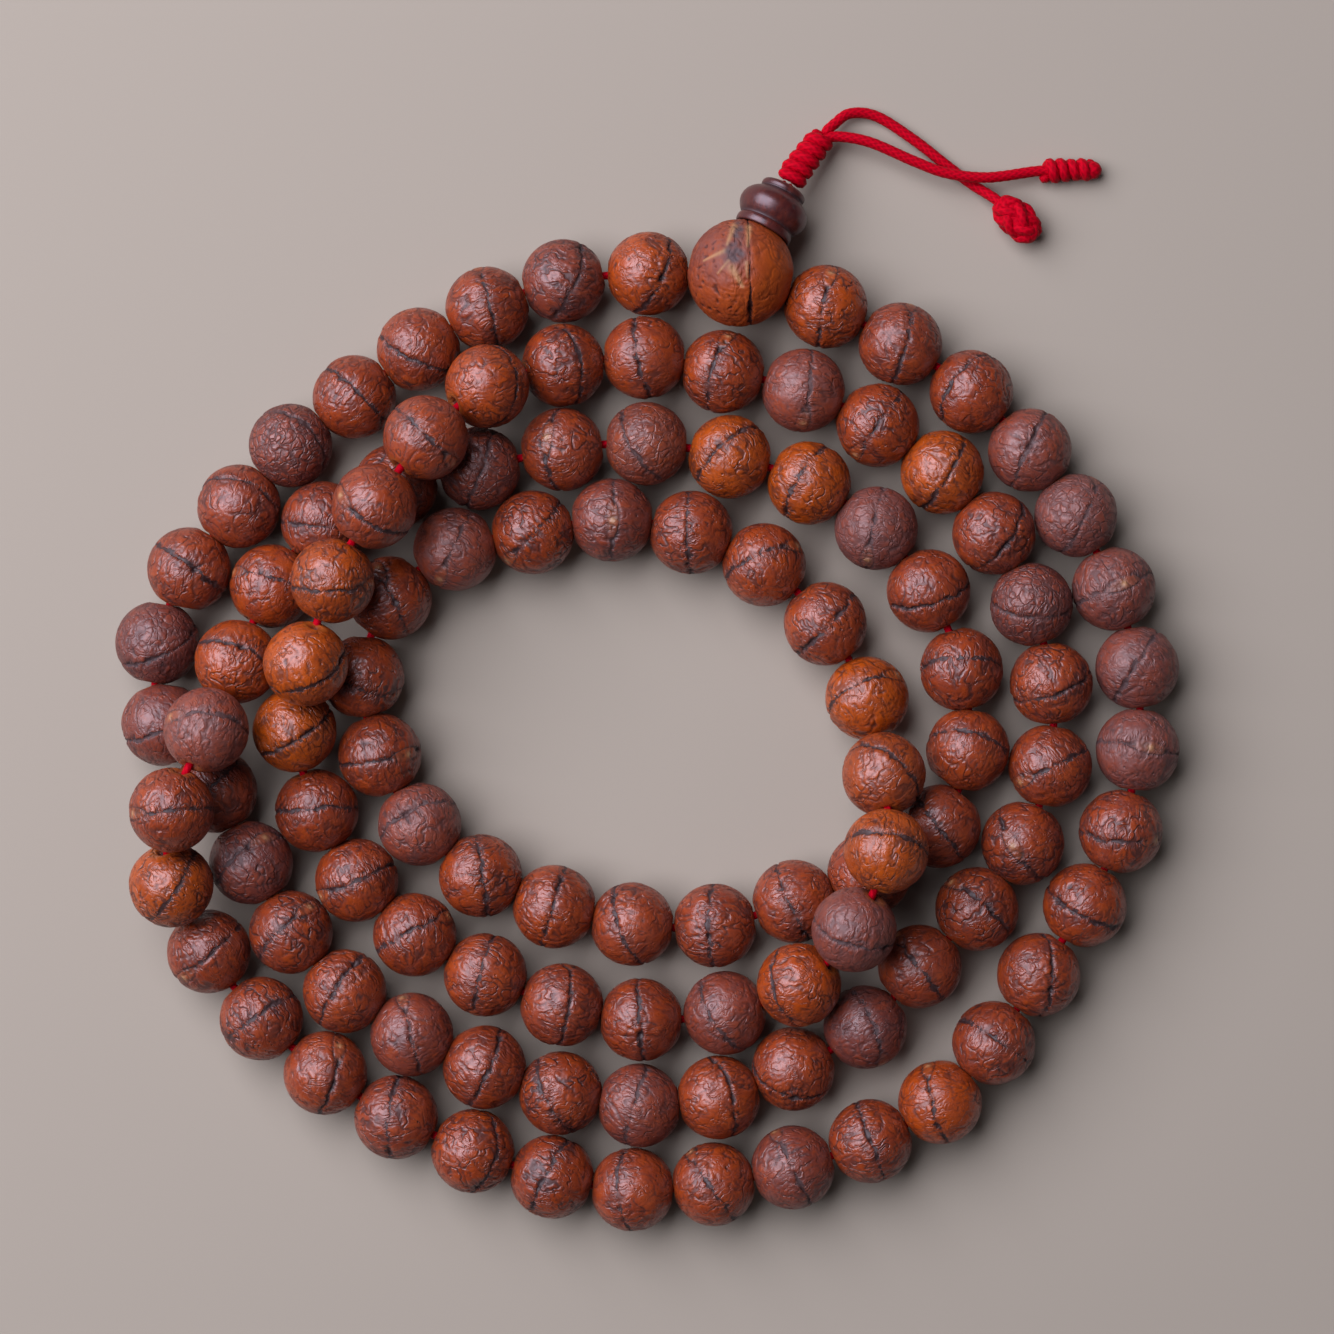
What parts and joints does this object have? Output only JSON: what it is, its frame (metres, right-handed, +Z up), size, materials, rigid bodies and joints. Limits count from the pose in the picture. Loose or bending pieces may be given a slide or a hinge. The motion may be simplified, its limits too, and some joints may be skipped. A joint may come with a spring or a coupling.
{
  "type": "mala prayer beads",
  "caption": "Coiled string of round wrinkled seed beads on a red cord, with a larger guru bead, a turned stopper, a snake knot and two knotted tails.",
  "frame": {"origin": "on the surface the beads lie on, under the middle of the box of the beads, guru bead, stopper and snake knot", "axes": "+Z up; +Y from the middle of the coil towards the guru bead and its tassel end; +X to the right in the view from above"},
  "size_m": [0.1296, 0.1374, 0.0198],
  "materials": {
    "seed_orange": "satin, worn orange-brown seed",
    "seed_brown": "satin, reddish-brown seed",
    "seed_dark": "satin, purplish-brown seed",
    "guru_seed": "satin, large orange-brown seed with pale streaks",
    "stopper_wood": "polished dark red-brown wood",
    "red_cord": "braided red nylon cord"
  },
  "bodies": {
    "strand": {"beads_001_004": "seed_brown", "beads_006_008": "seed_brown", "beads_010_012": "seed_dark", "beads_014_016": "seed_brown", "beads_018_020": "seed_brown", "beads_022_024": "seed_brown", "beads_026_028": "seed_brown", "beads_030_032": "seed_brown", "beads_034_036": "seed_brown", "beads_038_040": "seed_orange", "beads_042_044": "seed_brown", "beads_046_048": "seed_brown", "beads_050_052": "seed_orange", "beads_054_056": "seed_brown", "beads_058_060": "seed_brown", "beads_062_064": "seed_brown", "beads_066_068": "seed_brown", "beads_070_072": "seed_brown", "beads_074_076": "seed_orange", "beads_078_080": "seed_brown", "beads_082_084": "seed_brown", "beads_086_088": "seed_brown", "beads_090_092": "seed_brown", "beads_094_096": "seed_brown", "beads_098_100": "seed_brown", "beads_101_104": "seed_dark", "beads_105_108": "seed_brown", "guru_bead": "guru_seed", "strand_cord": "red_cord", "neck_cord": "red_cord"},
    "bead_005": {"bead_005": "seed_brown"},
    "bead_009": {"bead_009": "seed_dark"},
    "bead_013": {"bead_013": "seed_brown"},
    "bead_017": {"bead_017": "seed_brown"},
    "bead_021": {"bead_021": "seed_dark"},
    "bead_025": {"bead_025": "seed_brown"},
    "bead_029": {"bead_029": "seed_orange"},
    "bead_033": {"bead_033": "seed_brown"},
    "bead_037": {"bead_037": "seed_brown"},
    "bead_041": {"bead_041": "seed_brown"},
    "bead_045": {"bead_045": "seed_brown"},
    "bead_049": {"bead_049": "seed_dark"},
    "bead_053": {"bead_053": "seed_brown"},
    "bead_057": {"bead_057": "seed_brown"},
    "bead_061": {"bead_061": "seed_brown"},
    "bead_065": {"bead_065": "seed_brown"},
    "bead_069": {"bead_069": "seed_brown"},
    "bead_073": {"bead_073": "seed_dark"},
    "bead_077": {"bead_077": "seed_brown"},
    "bead_081": {"bead_081": "seed_brown"},
    "bead_085": {"bead_085": "seed_orange"},
    "bead_089": {"bead_089": "seed_brown"},
    "bead_093": {"bead_093": "seed_brown"},
    "bead_097": {"bead_097": "seed_brown"},
    "guru_stopper": {"guru_stopper": "stopper_wood"},
    "knot": {"snake_knot": "red_cord"},
    "tail_short": {"tail_short": "red_cord", "end_knot_button": "red_cord"},
    "tail_long": {"tail_long": "red_cord", "end_knot_barrel": "red_cord"}
  },
  "joints": [
    {"name": "bead_005_spin", "type": "hinge", "parent": "strand", "child": "bead_005", "pos_m": [-0.03576, 0.03401, 0.00485], "axis": [-0.7996, -0.6006, 0], "continuous": true},
    {"name": "bead_009_spin", "type": "hinge", "parent": "strand", "child": "bead_009", "pos_m": [-0.05976, 0.00403, 0.00485], "axis": [-0.1646, -0.9864, 0], "continuous": true},
    {"name": "bead_013_spin", "type": "hinge", "parent": "strand", "child": "bead_013", "pos_m": [-0.04351, -0.03126, 0.00485], "axis": [0.5902, -0.8072, 0], "continuous": true},
    {"name": "bead_017_spin", "type": "hinge", "parent": "strand", "child": "bead_017", "pos_m": [-0.01063, -0.0509, 0.00485], "axis": [0.9706, -0.2406, 0], "continuous": true},
    {"name": "bead_021_spin", "type": "hinge", "parent": "strand", "child": "bead_021", "pos_m": [0.0266, -0.04282, 0.00485], "axis": [0.7776, 0.6287, 0], "continuous": true},
    {"name": "bead_025_spin", "type": "hinge", "parent": "strand", "child": "bead_025", "pos_m": [0.04913, -0.01101, 0.00485], "axis": [0.1757, 0.9844, 0], "continuous": true},
    {"name": "bead_029_spin", "type": "hinge", "parent": "strand", "child": "bead_029", "pos_m": [0.03597, 0.02482, 0.00485], "axis": [-0.7326, 0.6807, 0], "continuous": true},
    {"name": "bead_033_spin", "type": "hinge", "parent": "strand", "child": "bead_033", "pos_m": [-0.00037, 0.03882, 0.00486], "axis": [-0.9992, 0.0389, 0.0045], "continuous": true},
    {"name": "bead_037_slide", "type": "slide", "parent": "strand", "child": "bead_037", "axis": [-0.5457, -0.838, 0.008], "range_m": [-0.0005, 0.0005]},
    {"name": "bead_041_spin", "type": "hinge", "parent": "strand", "child": "bead_041", "pos_m": [-0.04033, -0.01645, 0.00497], "axis": [0.3697, -0.9222, -0.1134], "continuous": true},
    {"name": "bead_045_spin", "type": "hinge", "parent": "strand", "child": "bead_045", "pos_m": [-0.01046, -0.04018, 0.00485], "axis": [0.9606, -0.2781, 0], "continuous": true},
    {"name": "bead_049_slide", "type": "slide", "parent": "strand", "child": "bead_049", "axis": [0.5014, 0.8125, 0.2973], "range_m": [-0.0005, 0.0005]},
    {"name": "bead_053_spin", "type": "hinge", "parent": "strand", "child": "bead_053", "pos_m": [0.02171, 0.00636, 0.00486], "axis": [-0.6103, 0.7921, -0.0083], "continuous": true},
    {"name": "bead_057_spin", "type": "hinge", "parent": "strand", "child": "bead_057", "pos_m": [-0.01395, 0.0175, 0.00485], "axis": [-0.9832, -0.1824, 0], "continuous": true},
    {"name": "bead_061_spin", "type": "hinge", "parent": "strand", "child": "bead_061", "pos_m": [-0.03265, -0.00966, 0.00485], "axis": [0.3594, -0.9332, 0], "continuous": true},
    {"name": "bead_065_spin", "type": "hinge", "parent": "strand", "child": "bead_065", "pos_m": [-0.00183, -0.03029, 0.00485], "axis": [0.9932, -0.1168, 0], "continuous": true},
    {"name": "bead_069_spin", "type": "hinge", "parent": "strand", "child": "bead_069", "pos_m": [0.03557, -0.01834, 0.00485], "axis": [0.624, 0.7814, 0], "continuous": true},
    {"name": "bead_073_spin", "type": "hinge", "parent": "strand", "child": "bead_073", "pos_m": [0.02792, 0.01801, 0.00485], "axis": [-0.7421, 0.6703, 0], "continuous": true},
    {"name": "bead_077_spin", "type": "hinge", "parent": "strand", "child": "bead_077", "pos_m": [-0.01039, 0.02761, 0.00485], "axis": [-0.9894, -0.1451, 0], "continuous": true},
    {"name": "bead_081_spin", "type": "hinge", "parent": "strand", "child": "bead_081", "pos_m": [-0.04585, 0.01095, 0.00498], "axis": [-0.5119, -0.8474, 0.1407], "continuous": true},
    {"name": "bead_085_slide", "type": "slide", "parent": "strand", "child": "bead_085", "axis": [0.1602, -0.8696, -0.467], "range_m": [-0.0005, 0.0005]},
    {"name": "bead_089_spin", "type": "hinge", "parent": "strand", "child": "bead_089", "pos_m": [-0.03065, -0.05383, 0.00485], "axis": [0.8844, -0.4668, 0], "continuous": true},
    {"name": "bead_093_spin", "type": "hinge", "parent": "strand", "child": "bead_093", "pos_m": [0.00807, -0.06199, 0.00485], "axis": [0.9907, 0.1358, 0], "continuous": true},
    {"name": "bead_097_spin", "type": "hinge", "parent": "strand", "child": "bead_097", "pos_m": [0.04226, -0.04477, 0.00485], "axis": [0.6123, 0.7906, 0], "continuous": true},
    {"name": "stopper_spin", "type": "hinge", "parent": "strand", "child": "guru_stopper", "pos_m": [0.01394, 0.05404, 0.00548], "axis": [0.4573, 0.8784, -0.1392], "continuous": true},
    {"name": "knot_swing", "type": "hinge", "parent": "strand", "child": "knot", "pos_m": [0.01705, 0.06001, 0.00454], "axis": [0, 0, 1], "range_deg": [-8, 12]},
    {"name": "tail_short_swing", "type": "hinge", "parent": "knot", "child": "tail_short", "pos_m": [0.02293, 0.06774, 0.0019], "axis": [0, 0, 1], "range_deg": [-12, 0]},
    {"name": "tail_long_swing", "type": "hinge", "parent": "knot", "child": "tail_long", "pos_m": [0.02313, 0.06614, 0.0024], "axis": [0, 0, 1], "range_deg": [0, 12]}
  ]
}
